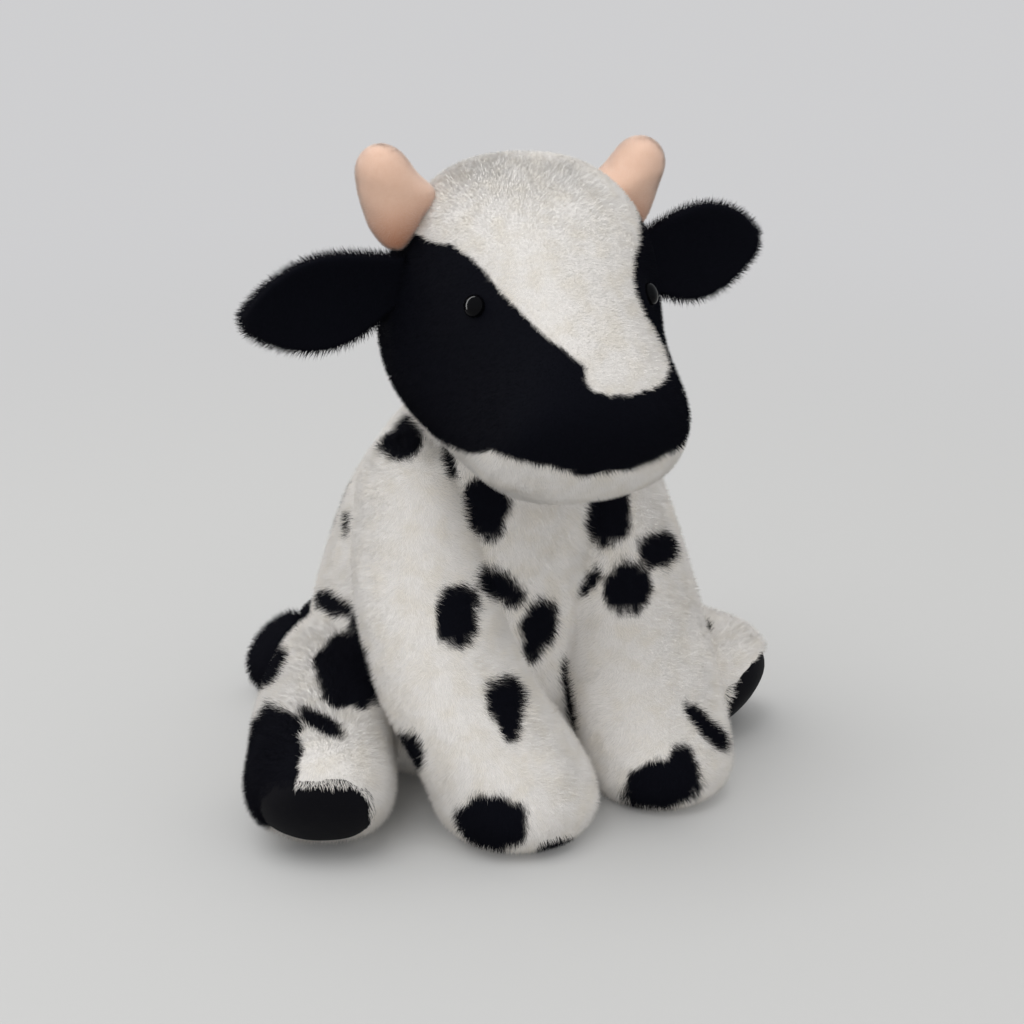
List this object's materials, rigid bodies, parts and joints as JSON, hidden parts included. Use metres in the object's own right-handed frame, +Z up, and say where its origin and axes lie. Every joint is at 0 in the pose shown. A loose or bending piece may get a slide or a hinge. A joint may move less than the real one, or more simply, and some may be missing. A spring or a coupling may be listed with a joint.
{
  "type": "plush cow",
  "caption": "Sitting stuffed toy cow in spotted fur fabric, with a bean-weighted seat, padded velour horns, layered ears, turned-out feet with sole pads and a tufted tail.",
  "frame": {"origin": "middle of the flat seat under the torso, on the surface that the cow sits on", "axes": "+Z up, -Y the way the cow faces, +X towards its left side"},
  "size_m": [0.2494, 0.2193, 0.2653],
  "materials": {
    "white_fur": "short warm white fur fabric with navy-black spots",
    "black_fur": "short navy-black fur fabric",
    "sole_suede": "smooth matte black suede cloth",
    "peach_velour": "smooth short-pile peach velour",
    "fibre_stuffing": "loose white polyester fibre",
    "bag_cloth": "plain woven cloth",
    "eye_gloss": "high gloss black",
    "washer_plastic": "matte natural white"
  },
  "bodies": {
    "torso": {"torso_skin": "white_fur", "torso_stuffing": "fibre_stuffing", "seat_bean_bag": "bag_cloth"},
    "head": {"head_back": "black_fur", "nose_panel": "black_fur", "blaze": "white_fur", "chin": "white_fur", "right_cheek": "black_fur", "left_cheek": "black_fur", "head_stuffing": "fibre_stuffing", "right_eye": "eye_gloss", "left_eye": "eye_gloss", "right_eye_washer": "washer_plastic", "left_eye_washer": "washer_plastic", "right_horn_skin": "peach_velour", "left_horn_skin": "peach_velour", "right_horn_stuffing": "fibre_stuffing", "left_horn_stuffing": "fibre_stuffing"},
    "right_ear": {"right_ear_front": "black_fur", "right_ear_back": "black_fur"},
    "left_ear": {"left_ear_front": "black_fur", "left_ear_back": "black_fur"},
    "right_front_leg": {"right_front_leg_skin": "white_fur", "right_front_leg_stuffing": "fibre_stuffing", "right_front_leg_sole_pad": "sole_suede"},
    "left_front_leg": {"left_front_leg_skin": "white_fur", "left_front_leg_stuffing": "fibre_stuffing", "left_front_leg_sole_pad": "sole_suede"},
    "right_hind_leg": {"right_hind_leg_skin": "white_fur", "right_hind_leg_stuffing": "fibre_stuffing", "right_hind_leg_sole_pad": "sole_suede"},
    "left_hind_leg": {"left_hind_leg_skin": "white_fur", "left_hind_leg_stuffing": "fibre_stuffing", "left_hind_leg_sole_pad": "sole_suede"},
    "tail": {"tail": "black_fur", "tail_tuft": "black_fur"}
  },
  "joints": [
    {"name": "neck_nod", "type": "hinge", "parent": "torso", "child": "head", "pos_m": [0, -0.033, 0.142], "axis": [0.9903, -0.1392, 0], "range_deg": [-10, 10], "stiffness_Nm_per_rad": 0.8, "springref_deg": -3.87},
    {"name": "right_ear_flap", "type": "hinge", "parent": "head", "child": "right_ear", "pos_m": [-0.04792, -0.03197, 0.2135], "axis": [-0.2727, -0.1127, 0.9555], "range_deg": [-20, 20], "stiffness_Nm_per_rad": 0.01, "springref_deg": -0.8},
    {"name": "left_ear_flap", "type": "hinge", "parent": "head", "child": "left_ear", "pos_m": [0.05053, -0.0458, 0.20864], "axis": [0.0343, -0.0115, 0.9993], "range_deg": [-20, 20], "stiffness_Nm_per_rad": 0.01, "springref_deg": 0.06},
    {"name": "right_front_leg_lift", "type": "hinge", "parent": "torso", "child": "right_front_leg", "pos_m": [-0.045, -0.028, 0.138], "axis": [-1, 0, 0], "range_deg": [0, 30], "stiffness_Nm_per_rad": 0.1},
    {"name": "left_front_leg_lift", "type": "hinge", "parent": "torso", "child": "left_front_leg", "pos_m": [0.045, -0.028, 0.138], "axis": [-1, 0, 0], "range_deg": [0, 30], "stiffness_Nm_per_rad": 0.1},
    {"name": "right_hind_leg_lift", "type": "hinge", "parent": "torso", "child": "right_hind_leg", "pos_m": [-0.056, 0, 0.062], "axis": [-0.6851, 0.7285, 0], "range_deg": [0, 25], "stiffness_Nm_per_rad": 0.1},
    {"name": "left_hind_leg_lift", "type": "hinge", "parent": "torso", "child": "left_hind_leg", "pos_m": [0.056, 0, 0.062], "axis": [-0.7116, -0.7026, 0], "range_deg": [0, 25], "stiffness_Nm_per_rad": 0.1},
    {"name": "tail_lift", "type": "hinge", "parent": "torso", "child": "tail", "pos_m": [-0.00272, 0.0574, 0.05843], "axis": [0.4616, 0.8871, 0], "range_deg": [0, 25], "stiffness_Nm_per_rad": 0.02}
  ]
}
